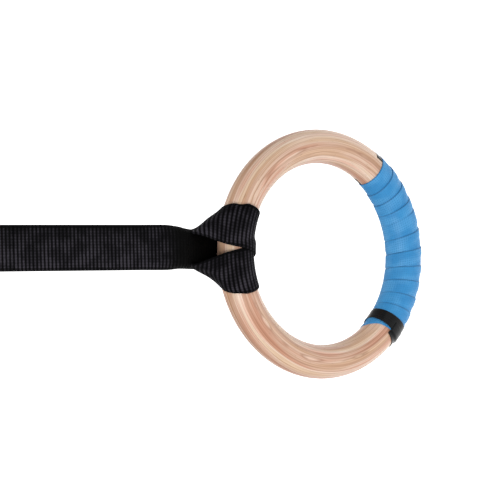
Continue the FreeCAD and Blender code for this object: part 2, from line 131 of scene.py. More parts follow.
class Rail:
    """A smooth curve through control points, read by the distance along it."""

    def __init__(self, points: Sequence[Vector], steps: int = 6) -> None:
        """Samples the curve.

        Args:
            points: Control points in order.
            steps: Samples between two control points.
        """
        self.samples: list[Vector] = []
        self.marks: list[float] = []
        last = len(points) - 1
        for i in range(last):
            a, b, c, d = (points[max(0, min(last, k))] for k in (i - 1, i, i + 1, i + 2))
            for k in range(steps):
                t = k / steps
                self.samples.append(
                    0.5 * ((2 * b) + (c - a) * t + (2 * a - 5 * b + 4 * c - d) * t * t
                           + (3 * b - a - 3 * c + d) * t ** 3)
                )
        self.samples.append(points[-1].copy())
        self.steps = steps
        total = 0.0
        for i, point in enumerate(self.samples):
            total += (point - self.samples[i - 1]).length if i else 0.0
            self.marks.append(total)

    @property
    def length(self) -> float:
        """Length of the whole curve."""
        return self.marks[-1]

    def mark(self, index: int) -> float:
        """Distance along the curve of a control point."""
        return self.marks[index * self.steps]

    def at(self, distance: float) -> Vector:
        """Point at a distance along the curve.

        Args:
            distance: Distance along the curve.

        Returns:
            The point there.
        """
        low, high = 0, len(self.marks) - 1
        distance = min(max(distance, 0.0), self.marks[-1])
        while high - low > 1:
            middle = (low + high) // 2
            if self.marks[middle] <= distance:
                low = middle
            else:
                high = middle
        span = self.marks[high] - self.marks[low]
        share = (distance - self.marks[low]) / span if span else 0.0
        return self.samples[low].lerp(self.samples[high], share)


# ---------------------------------------------------------------- shader building

Value = float | tuple[float, ...] | bpy.types.NodeSocket | None

# The property of each kind of node that the word after its dot sets.
CHOICES = {"Math": "operation", "VectorMath": "operation", "MapRange": "interpolation_type", "Mix": "blend_type",
           "TexNoise": "noise_dimensions", "TexWhiteNoise": "noise_dimensions", "TexWave": "bands_direction"}


def linear(code: str) -> tuple[float, float, float, float]:
    """Turns an sRGB hex colour into the linear one that a shader takes.

    Args:
        code: The colour, as six hex digits.

    Returns:
        Red, green, blue and alpha.
    """
    values = [int(code[i : i + 2], 16) / 255 for i in (0, 2, 4)]
    red, green, blue = (v / 12.92 if v <= 0.04045 else ((v + 0.055) / 1.055) ** 2.4 for v in values)
    return red, green, blue, 1.0


class Finish:
    """A material with one principled shader, whose own sockets hold the values that are the same all over."""

    def __init__(self, name: str, **sockets: Value) -> None:
        """Makes the material.

        Args:
            name: The real material and how its surface was made.
            sockets: Values of the shader's sockets, by name.
        """
        self.material = bpy.data.materials.new(name)
        self.material.use_nodes = True
        self.tree = self.material.node_tree
        self.shader = self.tree.nodes["Principled BSDF"]
        for key, value in sockets.items():
            self.socket(key).default_value = value

    def socket(self, key: str) -> bpy.types.NodeSocket:
        """The shader's socket for a keyword."""
        return self.shader.inputs[key.replace("_", " ").title().replace("Ior", "IOR")]

    def add(self, kind: str, *values: Value, out: str = "", stops: Sequence[tuple[float, str]] = (),
            **settings: object) -> bpy.types.NodeSocket:
        """Adds one shader node with its settings and links.

        Args:
            kind: Node type without its "ShaderNode" prefix, and after a dot its choice, as in "Math.ADD".
            values: Values and sockets for the inputs in use, in order. None leaves one as it is.
            out: Name of the output wanted, where it isn't the first in use.
            stops: A colour ramp's positions and sRGB hex colours.
            settings: The node's other properties.

        Returns:
            The node's output.
        """
        kind, _, choice = kind.partition(".")
        node = self.tree.nodes.new("ShaderNode" + kind)
        if choice:
            settings[CHOICES[kind]] = choice
        for name, setting in settings.items():
            setattr(node, name, setting)
        for socket, value in zip([socket for socket in node.inputs if socket.enabled], values):
            if isinstance(value, bpy.types.NodeSocket):
                self.tree.links.new(value, socket)
            elif value is not None:
                socket.default_value = value
        if stops:
            elements = node.color_ramp.elements
            while len(elements) < len(stops):
                elements.new(0.5)
            for element, (position, code) in zip(elements, stops):
                element.position, element.color = position, linear(code)
        return node.outputs[out] if out else next(socket for socket in node.outputs if socket.enabled)

    def wired(self, **patterns: bpy.types.NodeSocket) -> bpy.types.Material:
        """The material, with its patterns linked to the shader's sockets by name.

        Args:
            patterns: Outputs by socket.

        Returns:
            The material.
        """
        for key, pattern in patterns.items():
            self.tree.links.new(pattern, self.socket(key))
        return self.material


@dataclass(frozen=True)
class BirchLaminate:
    """Birch veneers glued flat on each other, turned round and lacquered satin."""

    ply: float = 0.0016            # thickness of one veneer, metres
    reach: float = 0.1             # radius of the circle that the grain follows, metres
    pale: str = "EED4BF"
    middle: str = "D8B39B"
    deep: str = "B98D73"

    def make(self, centre: Vector) -> bpy.types.Material:
        """Builds the material.

        Args:
            centre: The ring's centre, in metres.

        Returns:
            The finished material.
        """
        finish = Finish("birch_laminate_satin_lacquer", coat_weight=0.22, coat_roughness=0.28,
                        specular_ior_level=0.35)
        add = finish.add
        local = add("VectorMath.SUBTRACT", add("TexCoord", out="Object"), tuple(centre))
        x, y, z = (add("SeparateXYZ", local, out=axis) for axis in "XYZ")
        radius = add("Math.SQRT", add("Math.ADD", add("Math.MULTIPLY", x, x), add("Math.MULTIPLY", z, z)))
        # The grain runs round the ring: one turn of it lies on a circle in the noise's third and fourth axes.
        turn_x, turn_z = (add("Math.DIVIDE", side, radius) for side in (x, z))

        def grain(across: float, along: float, detail: float, shift: float = 0.0) -> bpy.types.NodeSocket:
            """Noise drawn out along the grain, with its size across and along it in metres.

            Args:
                across: Size across the grain.
                along: Size along the grain.
                detail: Octaves of the noise.
                shift: Offset that makes this pattern its own.

            Returns:
                The noise's output.
            """
            loop = self.reach / along
            vector = add("CombineXYZ", add("Math.DIVIDE", radius, across), add("Math.DIVIDE", y, across),
                         add("Math.MULTIPLY_ADD", turn_x, loop, shift))
            return add("TexNoise.4D", vector, add("Math.MULTIPLY", turn_z, loop), 1.0, detail, 0.55)

        # Veneers: each has its own tone, with a thin glue line between two of them.
        drift = add("Math.MULTIPLY", add("Math.SUBTRACT", grain(0.03, 0.05, 2.0, 3.0), 0.5), 0.0022)
        layer = add("Math.DIVIDE", add("Math.ADD", y, drift), self.ply)
        tone = add("TexWhiteNoise.1D", add("Math.FLOOR", layer))
        edge = add("Math.ABSOLUTE", add("Math.SUBTRACT", add("Math.FRACT", layer), 0.5))
        glue = add("MapRange.SMOOTHSTEP", edge, 0.40, 0.5)

        streak = grain(0.0012, 0.130, 4.0)
        band = grain(0.0050, 0.150, 3.0, 7.0)
        fibre = grain(0.00055, 0.030, 2.0, 11.0)
        body = add("Math.ADD", add("Math.MULTIPLY", streak, 0.62), add("Math.MULTIPLY", band, 0.38))
        body = add("Math.ADD", body, add("Math.MULTIPLY", add("Math.SUBTRACT", tone, 0.5), 0.20))
        colour = add("ValToRGB", body,
                     stops=[(0.32, self.deep), (0.45, self.middle), (0.57, self.pale), (0.72, "F4E0CF")])
        # Some veneers are pinker, some yellower.
        tint = add("ValToRGB", grain(0.006, 0.08, 1.0, 19.0),
                   stops=[(0.38, "F4C6B4"), (0.5, "FFFFFF"), (0.62, "EFE0C0")])
        colour = add("Mix.MULTIPLY", 0.5, colour, tint, data_type="RGBA")
        # Glue lines, darker growth lines, fibres and pores.
        line = add("Math.ABSOLUTE", add("Math.SUBTRACT", grain(0.0022, 0.20, 1.0, 41.0), 0.5))
        pores = grain(0.0009, 0.006, 1.0, 29.0)
        for share, code in (
            (add("Math.MULTIPLY", glue, 0.5), "A06F54"),
            (add("MapRange.SMOOTHSTEP", line, 0.0, 0.022, 0.42, 0.0), "A8775D"),
            (add("MapRange.SMOOTHSTEP", fibre, 0.58, 0.72, 0.0, 0.30), "A97E60"),
            (add("MapRange.SMOOTHSTEP", pores, 0.70, 0.76, 0.0, 0.45), "8A6248"),
        ):
            colour = add("Mix", share, colour, linear(code), data_type="RGBA")
        return finish.wired(
            base_color=colour,
            roughness=add("MapRange.SMOOTHSTEP", band, 0.3, 0.7, 0.38, 0.47),
            normal=add("Bump", 1.0, 0.00005, None, fibre, add("Bump", 1.0, -0.00004, None, glue)))


@dataclass(frozen=True)
class WovenWebbing:
    """Heavy polyester webbing: cross ribs of packed weft under rows of warp, with turned selvedges."""

    name: str = "webbing_woven_polyester"
    rib: float = 0.0040            # from one cross rib to the next, metres
    row: float = 0.0026            # from one warp row to the next
    width: float = 0.040
    # Painted highlight: the crests ramp from the dark colour to the lit one.
    dark: str = "030304"
    lit: str = "39363D"
    lean_shade: str = "030303"           # painted shade where the legs lean away from the light and are drawn smooth
    depth: float = 0.00050

    def make(self) -> bpy.types.Material:
        """Builds the material.

        Returns:
            The finished material.
        """
        finish = Finish(self.name, specular_ior_level=0.05)
        add = finish.add
        weave = add("UVMap", uv_map=WEAVE)
        across, along = (add("SeparateXYZ", weave, out=axis) for axis in "XY")
        wave = add("Math.DIVIDE", along, self.rib)
        crossing = add("Math.DIVIDE", across, self.row)
        # Each warp row is half a rib on from its neighbour.
        lane = add("Math.FLOOR", crossing)
        swell, yarn = (add("Math.ABSOLUTE", add("Math.SINE", add("Math.MULTIPLY", run, math.pi)))
                       for run in (wave, crossing))
        rib, yarn = add("Math.POWER", swell, 0.7), add("Math.POWER", yarn, 0.6)
        offset = add("Math.MULTIPLY_ADD", lane, 0.5, wave)
        knot = add("Math.SINE", add("Math.MULTIPLY", offset, math.pi))
        knot = add("Math.MULTIPLY", knot, knot)
        uneven, slub = (add("TexNoise", add("VectorMath.MULTIPLY", weave, fineness), 1.0, 2.0)
                        for fineness in ((260.0, 420.0, 1.0), (1500.0, 700.0, 1.0)))
        height = rib
        for relief, share in ((yarn, 0.28), (knot, 0.16), (slub, 0.18)):
            height = add("Math.MULTIPLY_ADD", relief, share, height)
        # The selvedges are woven flatter than the middle.
        edge = add("Math.ABSOLUTE", across)
        flat = add("MapRange.SMOOTHSTEP", edge, self.width / 2 - 0.0032, self.width / 2 - 0.0014, 1.0, 0.35)
        # Where the strip is drawn tight its ribs flatten and its colour turns near black, painted shade where the
        # legs lean away from the light.
        slack_unshaded = add("Math.SUBTRACT", 1.0, add("Attribute", attribute_name=PULLED_AND_SHADED, out="Fac"))
        height = add("Math.MULTIPLY", add("Math.MULTIPLY", height, flat), add("Math.MULTIPLY_ADD", slack_unshaded, 0.8, 0.2))
        # Painted highlight: the crests are lighter yarn by yarn. Painted light: the strip is lighter towards -across
        # and darker towards +across.
        crest_highlight = add("Math.POWER", swell, 2.4)
        dot_highlight = add("Math.MULTIPLY_ADD", add("Math.POWER", yarn, 3.0), 0.45, 0.55)
        broad = add("TexNoise", add("VectorMath.MULTIPLY", weave, (75.0, 60.0, 1.0)), 1.0, 1.0)
        uneven = add("Math.MULTIPLY", add("Math.MULTIPLY_ADD", uneven, 1.3, 0.25),
                     add("MapRange.SMOOTHSTEP", broad, 0.36, 0.64, 0.55, 1.25))
        paler = add("MapRange.SMOOTHSTEP", across, -self.width * 0.42, self.width * 0.38, 1.3, 0.6)
        shade = crest_highlight
        for share in (dot_highlight, uneven, flat, paler):
            shade = add("Math.MULTIPLY", shade, share)
        colour = add("ValToRGB", shade, stops=[(0.06, self.dark), (0.90, self.lit)])
        return finish.wired(
            base_color=add("Mix", slack_unshaded, linear(self.lean_shade), colour, data_type="RGBA"),
            roughness=add("MapRange.SMOOTHSTEP", shade, 0.1, 0.9, 0.78, 0.52),
            normal=add("Bump", 1.0, self.depth, None, height))


@dataclass(frozen=True)
class Overgrip:
    """Thin polyurethane grip tape, matt blue, pressed with a fine pattern of pits."""

    pit: float = 0.0021            # between two pits, metres, drawn coarser than the real ones so that they show
    light: str = "409AD6"
    deep: str = "3086C4"

    def make(self) -> bpy.types.Material:
        """Builds the material.

        Returns:
            The finished material.
        """
        finish = Finish("overgrip_matt_polyurethane", specular_ior_level=0.28)
        add = finish.add
        weave = add("UVMap", uv_map=WEAVE)
        across, along = (add("SeparateXYZ", weave, out=axis) for axis in "XY")
        u, v = (add("Math.MULTIPLY", run, math.pi / self.pit) for run in (across, along))
        grid = add("Math.MULTIPLY", add("Math.SINE", add("Math.ADD", u, v)),
                   add("Math.SINE", add("Math.SUBTRACT", u, v)))
        pits = add("MapRange.SMOOTHSTEP", grid, 0.25, 0.80)
        cloud = add("TexNoise", add("VectorMath.MULTIPLY", weave, (70.0, 45.0, 1.0)), 1.0, 3.0, 0.6)
        skin = add("TexNoise", add("VectorMath.MULTIPLY", weave, (2600.0, 2600.0, 1.0)), 1.0, 2.0)
        highlight_patch = add("TexNoise", add("VectorMath.MULTIPLY", weave, (55.0, 38.0, 1.0)), 1.0, 2.0)
        highlight_patch = add("Math.MULTIPLY", add("MapRange.SMOOTHSTEP", highlight_patch, 0.42, 0.62), 0.34)
        colour = add("ValToRGB", cloud, stops=[(0.25, self.deep), (0.80, self.light)])
        # Painted highlight: the pad between the pits is lighter in patches. Painted shade: the pits are darker, and
        # so is each turn's exposed edge.
        edge = add("MapRange.SMOOTHSTEP", across, 0.0, 0.0011, 1.0, 0.0)
        for share, code in (
            (add("Math.MULTIPLY", add("Math.SUBTRACT", 1.0, pits), highlight_patch), "6CB6EA"),
            (add("Math.MULTIPLY", pits, 0.25), "2468A6"),
            (add("Math.MULTIPLY", edge, 0.72), "1E4E7C"),
        ):
            colour = add("Mix", share, colour, linear(code), data_type="RGBA")
        return finish.wired(
            base_color=colour,
            roughness=add("MapRange.SMOOTHSTEP", cloud, 0.3, 0.7, 0.56, 0.45),
            normal=add("Bump", 1.0, 0.00003, None, skin, add("Bump", 1.0, -0.00012, None, pits)))


@dataclass(frozen=True)
class GlossTape:
    """Stretched black vinyl tape, glossy, with fine pull lines."""

    dark: str = "050607"
    lit: str = "0D0F12"

    def make(self) -> bpy.types.Material:
        """Builds the material.

        Returns:
            The finished material.
        """
        finish = Finish("vinyl_tape_gloss_black", specular_ior_level=0.22)
        add = finish.add
        lines = add("TexNoise", add("VectorMath.MULTIPLY", add("UVMap", uv_map=WEAVE), (900.0, 60.0, 1.0)), 1.0, 2.0)
        return finish.wired(
            base_color=add("ValToRGB", lines, stops=[(0.3, self.dark), (0.7, self.lit)]),
            roughness=add("MapRange.SMOOTHSTEP", lines, 0.3, 0.7, 0.18, 0.34),
            normal=add("Bump", 1.0, 0.00006, None, lines))


@dataclass(frozen=True)
class Metal:
    """A metal part, by its base colour, its finish and how fine its marks are."""

    name: str
    base: str
    paler: str
    roughness: float
    metallic: float = 1.0
    grain: tuple[float, float, float] = (900.0, 900.0, 900.0)
    depth: float = 0.00002

    def make(self) -> bpy.types.Material:
        """Builds the material.

        Returns:
            The finished material.
        """
        finish = Finish(self.name, metallic=self.metallic)
        add = finish.add
        place = add("TexCoord", out="Object")
        fine = add("TexNoise", add("VectorMath.MULTIPLY", place, self.grain), 1.0, 3.0)
        broad = add("TexNoise", place, 90.0, 3.0)
        return finish.wired(
            base_color=add("ValToRGB", broad, stops=[(0.35, self.base), (0.7, self.paler)]),
            roughness=add("MapRange.SMOOTHSTEP", fine, 0.25, 0.75, self.roughness - 0.07, self.roughness + 0.1),
            normal=add("Bump", 1.0, self.depth, None, fine))


@dataclass(frozen=True)
class BondedThread:
    """Black bonded sewing thread with a twist."""

    dark: str = "0D0D10"
    lit: str = "38373C"

    def make(self) -> bpy.types.Material:
        """Builds the material.

        Returns:
            The finished material.
        """
        finish = Finish("thread_bonded_polyester", roughness=0.5, specular_ior_level=0.45)
        add = finish.add
        twist = add("TexWave.DIAGONAL", add("TexCoord", out="Object"), 420.0, 1.5)
        return finish.wired(
            base_color=add("ValToRGB", twist, stops=[(0.2, self.dark), (0.8, self.lit)]),
            normal=add("Bump", 1.0, 0.00015, None, twist))


# ---------------------------------------------------------------- strips of webbing and tape

Place = Callable[[float, float], Vector]


def flat_section(width: float, thickness: float, columns: int) -> list[tuple[float, float]]:
    """Outline of a strip's section: flat faces and half-round edges.

    Args:
        width: Full width in millimetres.
        thickness: Full thickness in millimetres.
        columns: Divisions across a face.

    Returns:
        Closed list of (across, out) points.
    """
    half, r = width / 2 - thickness / 2, thickness / 2
    face = [(-half + 2 * half * k / columns, r) for k in range(columns + 1)]
    edge = [(half + r * math.cos(math.radians(a)), r * math.sin(math.radians(a))) for a in (45, 0, -45)]
    back = [(-c, -n) for c, n in face]
    return [*face, *edge, *back, *((-c, -n) for c, n in edge)]


def strip(name: str, place: Place, stations: Sequence[float], section: Sequence[tuple[float, float]],
          weave: Callable[[float, float], tuple[float, float]] | None = None,
          pull_and_shade: Callable[[float], float] | None = None) -> bpy.types.Object:
    """A closed strip that follows a surface, with its flat coordinates as its texture map.

    Args:
        name: The piece's name.
        place: Gives the point of the strip's middle surface for (across, along), all in millimetres.
        stations: Values of along, from one end to the other.
        section: Closed outline of (across, out) points.
        weave: Gives the flat (across, along) of a point for the texture map, where they differ.
        pull_and_shade: Gives how hard the strip is drawn smooth at a station, from 0 to 1, which also sets its
            painted shade.

    Returns:
        The new object.
    """
    flat = weave or (lambda across, along: (across, along))
    bm = bmesh.new()
    around, rows = len(section), len(stations) - 1
    bmesh.ops.create_grid(bm, x_segments=around, y_segments=rows, size=0.5)
    layer = bm.loops.layers.uv.new(WEAVE)

    def indices(vert: bmesh.types.BMVert) -> tuple[int, int]:
        """Column round the section and row along the strip of a vertex of the grid."""
        return round((vert.co.x + 0.5) * around) % around, round((vert.co.y + 0.5) * rows)

    for face in bm.faces:
        for loop in face.loops:
            i, j = indices(loop.vert)
            across, along = flat(section[i][0], stations[j])
            loop[layer].uv = (across * MM, along * MM)
    step = 0.05
    tension_and_shade = bm.verts.layers.float.new(PULLED_AND_SHADED)
    for vert in bm.verts:
        i, j = indices(vert)
        vert[tension_and_shade] = pull_and_shade(stations[j]) if pull_and_shade else 0.0
        (c, n), a = section[i], stations[j]
        point = place(c, a)
        if abs(n) > 1e-9:
            side = place(c + step, a) - place(c - step, a)
            on = place(c, a + step) - place(c, a - step)
            point = point + side.cross(on).normalized() * n
        vert.co = point * MM
    bmesh.ops.remove_doubles(bm, verts=bm.verts[:], dist=1e-7)
    rim = [edge for edge in bm.edges if edge.is_boundary]
    bmesh.ops.holes_fill(bm, edges=rim, sides=0)
    bmesh.ops.recalc_face_normals(bm, faces=bm.faces[:])
    for face in bm.faces:
        face.smooth = len(face.verts) < 5
    return finished(name, bm)


def finished(name: str, bm: bmesh.types.BMesh) -> bpy.types.Object:
    """Writes a bmesh to a new object at the origin and frees it.

    Args:
        name: The piece's name.
        bm: The finished bmesh.

    Returns:
        The new object.
    """
    mesh = bpy.data.meshes.new(name)
    bm.to_mesh(mesh)
    bm.free()
    piece = bpy.data.objects.new(name, mesh)
    bpy.context.scene.collection.objects.link(piece)
    return piece


def joined(name: str, pieces: Sequence[bpy.types.Object]) -> bpy.types.Object:
    """Several pieces made one mesh.

    Args:
        name: The piece's name.
        pieces: The pieces, which are removed.

    Returns:
        The new object.
    """
    bm = bmesh.new()
    for piece in pieces:
        bm.from_mesh(piece.data)
        bpy.data.objects.remove(piece)
    return finished(name, bm)


def spread(start: float, stop: float, pitch: float) -> list[float]:
    """Even stations from start to stop, about a pitch apart."""
    count = max(2, round(abs(stop - start) / pitch))
    return [start + (stop - start) * k / count for k in range(count + 1)]


def dress(piece: bpy.types.Object, material: bpy.types.Material) -> bpy.types.Object:
    """Gives a new piece its material.

    Args:
        piece: The new piece.
        material: Its finish.

    Returns:
        The same piece.
    """
    piece.data.materials.clear()
    piece.data.materials.append(material)
    return piece


@dataclass
class Ring:
    """The ring's measures, read from the frame, and places on its tube.

    Ring angle is 0 at the top and grows towards +X. Tube angle is 0 outwards, 90 on the near side (-Y), 180 inwards.
    """

    tube: float = 16.0
    centre: Vector = field(init=False)
    radius: float = field(init=False)

    def __post_init__(self) -> None:
        """Reads the ring's centre and size from its node."""
        low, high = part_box("wood_ring")
        self.centre = (low + high) / 2 / MM
        self.radius = (high.x - low.x) / 2 / MM - self.tube

    def on_tube(self, angle: float, tube_angle: float, r: float) -> Vector:
        """Point at a ring angle and tube angle, at r from the tube's centre line.

        Args:
            angle: Ring angle.
            tube_angle: Angle about the tube.
            r: Distance from the tube's centre line.

        Returns:
            The point, in millimetres.
        """
        a, p = math.radians(angle), math.radians(tube_angle)
        out = self.radius + r * math.cos(p)
        return self.centre + Vector((out * math.sin(a), -r * math.sin(p), out * math.cos(a)))

    def above(self, height: float) -> float:
        """Level of a height above the ring's centre."""
        return self.centre.z + height


def fillet_path(corners: Sequence[tuple[float, float]], radii: Sequence[float]) -> list[Vector]:
    """A (y, z) line with rounded corners, as points close enough together to follow.

    Args:
        corners: Corners of the line.
        radii: Bend radius at each inner corner.

    Returns:
        Points along it.
    """
    spots = [Vector((0.0, y, z)) for y, z in corners]
    path = [spots[0]]
    for before, corner, after, radius in zip(spots, spots[1:], spots[2:], radii):
        back, on = (before - corner).normalized(), (after - corner).normalized()
        half = back.angle(on) / 2
        reach = min(radius / math.tan(half), (before - corner).length * 0.5, (after - corner).length * 0.5)
        start, stop = corner + back * reach, corner + on * reach
        for k in range(9):
            t = k / 8
            path.append(start.lerp(corner, t).lerp(corner.lerp(stop, t), t))
    path.append(spots[-1])
    return path


def arc(centre: tuple[float, float], radius: float, start: float, stop: float, shrink: float = 0.0,
        pitch: float = 7.5) -> list[Vector]:
    """Points of an arc or spiral in the (y, z) plane.

    Args:
        centre: Its (y, z) centre.
        radius: Radius at the start.
        start: First angle, in degrees.
        stop: Last angle, in degrees.
        shrink: How much the radius falls in one turn.
        pitch: Degrees between points.

    Returns:
        Points along it.
    """
    points = []
    for a in spread(start, stop, pitch):
        r = radius - shrink * abs(a - start) / 360
        points.append(Vector((0.0, centre[0] + r * math.cos(math.radians(a)),
                              centre[1] + r * math.sin(math.radians(a)))))
    return points


def tangent_angle(point: tuple[float, float], centre: tuple[float, float], radius: float, side: int) -> float:
    """Angle, in degrees, at which a line from a point touches a circle."""
    dy, dz = point[0] - centre[0], point[1] - centre[1]
    return math.degrees(math.atan2(dz, dy) + side * math.acos(radius / math.hypot(dy, dz)))


# ---------------------------------------------------------------- the ring and its tapes


@dataclass
class WoodenRing:
    """The turned ring of glued birch veneers."""

    ring: Ring
    around: int = 240
    about: int = 72

    def build(self) -> bpy.types.Object:
        """Spins the tube's circle round the ring's axis.

        Returns:
            The new piece.
        """
        bm = bmesh.new()
        centre = self.ring.centre * MM
        made = bmesh.ops.create_circle(bm, cap_ends=False, segments=self.about, radius=self.ring.tube * MM)
        for vert in made["verts"]:
            vert.co = centre + Vector((self.ring.radius * MM + vert.co.x, vert.co.y, 0.0))
        bmesh.ops.spin(bm, geom=bm.verts[:] + bm.edges[:], cent=centre, axis=(0.0, 1.0, 0.0),
                       angle=2 * math.pi, steps=self.around, use_merge=True, use_duplicate=False)
        bmesh.ops.remove_doubles(bm, verts=bm.verts[:], dist=1e-6)
        bmesh.ops.recalc_face_normals(bm, faces=bm.faces[:])
        for face in bm.faces:
            face.smooth = True
        piece = finished("birch_ring", bm)
        dress(piece, BirchLaminate().make(centre))
        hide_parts("wood_ring")
        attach(piece, Body.RING)
        return piece


@dataclass
class WoundTapes:
    """The grip tape wound in a helix, the tape that holds its end, and the tape that holds its start.

    Angles named low are ring angles from the lowest point, positive towards +X.
    """

    ring: Ring
    width: float = 25.0
    thickness: float = 0.7
    skin: float = 0.05
    edges: tuple[float, ...] = (43.2, 34.7, 26.5, 20.9, 10.6, 1.7, -7.3, -15.2, -23.7, -31.7, -38.5, -45.0)
    start: float = 51.3
    turns: tuple[float, float] = (-60.0, 4250.0)   # about the tube, from the grip tape's start to its end
    lapped: float = 300.0          # turn from which the grip tape lies on its own last turn
    vinyl: float = 0.25
    finish_width: float = 13.6
    finish_turn: float = 640.0     # how far the finishing tape goes about the tube
    start_width: float = 10.0
    start_low: float = 53.3        # low angle of the starting tape's middle
    start_turns: tuple[float, float] = (190.0, 420.0)

    def edge(self, turn: float) -> float:
        """Low angle of the grip tape's upper edge after a turn of so many degrees about the tube.

        Args:
            turn: Degrees about the tube since the start.

        Returns:
            The low angle, in degrees.
        """
        rows = [(-60.0, self.start + 1.8), (30.0, self.start + 1.5), (90.0, self.start), (180.0, self.start - 0.2),
                (300.0, self.start - 3.6)]
        rows += [(450.0 + 360 * k, low) for k, low in enumerate(self.edges)]
        return rounded_table(rows, turn, 40.0)

    def lower_limit(self, tube_angle: float) -> float:
        """Low angle where the grip tape is cut off, by tube angle.

        Args:
            tube_angle: Angle about the tube.

        Returns:
            The low angle, in degrees.
        """
        rows = [(0.0, -46.0), (98.0, -46.8), (137.0, -48.2), (163.0, -51.0), (185.0, -53.0), (240.0, -53.0),
                (310.0, -49.0), (360.0, -46.0)]
        return rounded_table(rows, tube_angle % 360, 8.0)

    def on(self, low: float, tube_angle: float, r: float) -> Vector:
        """Point at a low angle, tube angle and distance from the tube's centre line."""
        return self.ring.on_tube(180.0 - low, tube_angle, r)

    def grip_place(self, c: float, turn: float) -> Vector:
        """Middle surface of the grip tape.

        Args:
            c: How far across the strip.
            turn: Degrees about the tube since the start.

        Returns:
            The point, in millimetres.
        """
        tube_angle = turn % 360
        rho = self.ring.radius + self.ring.tube * math.cos(math.radians(tube_angle))
        upper = self.edge(turn)
        span = min(math.degrees(self.width / rho), upper - self.lower_limit(tube_angle))
        share = c / self.width + 0.5
        low = upper - span * share
        pitch = self.edge(turn - 360) - upper if turn > self.lapped else span
        bare = smooth((share * span - (span - pitch)) / 1.6 + 0.25)
        on_turn = smooth((turn - self.lapped) / 40)
        r = self.ring.tube + self.skin + self.thickness * (0.5 + (1 - bare) * on_turn)
        return self.on(low, tube_angle, r)

    def grip(self, material: bpy.types.Material) -> bpy.types.Object:
        """Winds the grip tape.

        Args:
            material: Its finish.

        Returns:
            The new piece.
        """
        stations = spread(*self.turns, 8.0)
        arc_length = math.radians(self.ring.tube + self.thickness)
        piece = strip("overgrip", self.grip_place, stations, flat_section(self.width, self.thickness, 12),
                      lambda c, a: (c + self.width / 2, a * arc_length))
        dress(piece, material)
        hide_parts("grip_tape")
        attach(piece, Body.RING)
        return piece

    def under(self, low: float, tube_angle: float) -> float:
        """Distance from the tube's centre line of what the finishing tape lies on.

        Args:
            low: Low angle, from the ring's lowest point.
            tube_angle: Angle about the tube.

        Returns:
            The distance, in millimetres.
        """
        over_grip = smooth((low - self.lower_limit(tube_angle)) / 1.3 + 1.0)
        single = self.ring.tube + self.skin
        return single + (2 * self.thickness + 0.05) * over_grip

    def finish_place(self, c: float, a: float) -> Vector:
        """Middle surface of the finishing tape, from its tail at a = 0.

        Args:
            c: How far across the strip.
            a: How far along the strip.

        Returns:
            The point, in millimetres.
        """
        tube_angle = 95.0 - a
        middle = rounded_table([(0.0, -45.3), (45.0, -45.8), (95.0, -45.8), (180.0, -44.1), (300.0, -42.5),
                                (700.0, -42.4)], a, 15.0)
        low = middle - c / self.ring.radius * 180 / math.pi
        tuck = self.vinyl * 1.4 * (1 - smooth((a - 330) / 40))
        return self.on(low, tube_angle % 360, self.under(low, tube_angle % 360) + self.vinyl / 2 + tuck)

    def finishing(self, material: bpy.types.Material) -> bpy.types.Object:
        """Winds the finishing tape.

        Args:
            material: Its finish.

        Returns:
            The new piece.
        """
        stations = spread(0.0, self.finish_turn, 5.0)
        arc_length = math.radians(self.ring.tube + 1.5)
        piece = strip("finishing_wrap", self.finish_place, stations, flat_section(self.finish_width, self.vinyl, 16),
                      lambda c, a: (c, a * arc_length))
        dress(piece, material)
        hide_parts("finishing_tape")
        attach(piece, Body.RING)
        return piece

    def starting(self, material: bpy.types.Material) -> bpy.types.Object:
        """Lays the starting tape, most of it under the grip tape's edge.

        Args:
            material: Its finish.

        Returns:
            The new piece.
        """
        r = self.ring.tube + self.skin + self.vinyl / 2
        stations = spread(*self.start_turns, 6.0)
        arc_length = math.radians(self.ring.tube)

        def place(c: float, a: float) -> Vector:
            """Middle surface of the starting tape."""
            return self.on(self.start_low - math.degrees(c / self.ring.radius), a % 360, r)

        piece = strip("starting_wrap", place, stations, flat_section(self.start_width, self.vinyl, 8),
                      lambda c, a: (c, a * arc_length))
        dress(piece, material)
        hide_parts("start_tape")
        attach(piece, Body.RING)
        return piece


# ---------------------------------------------------------------- the strap


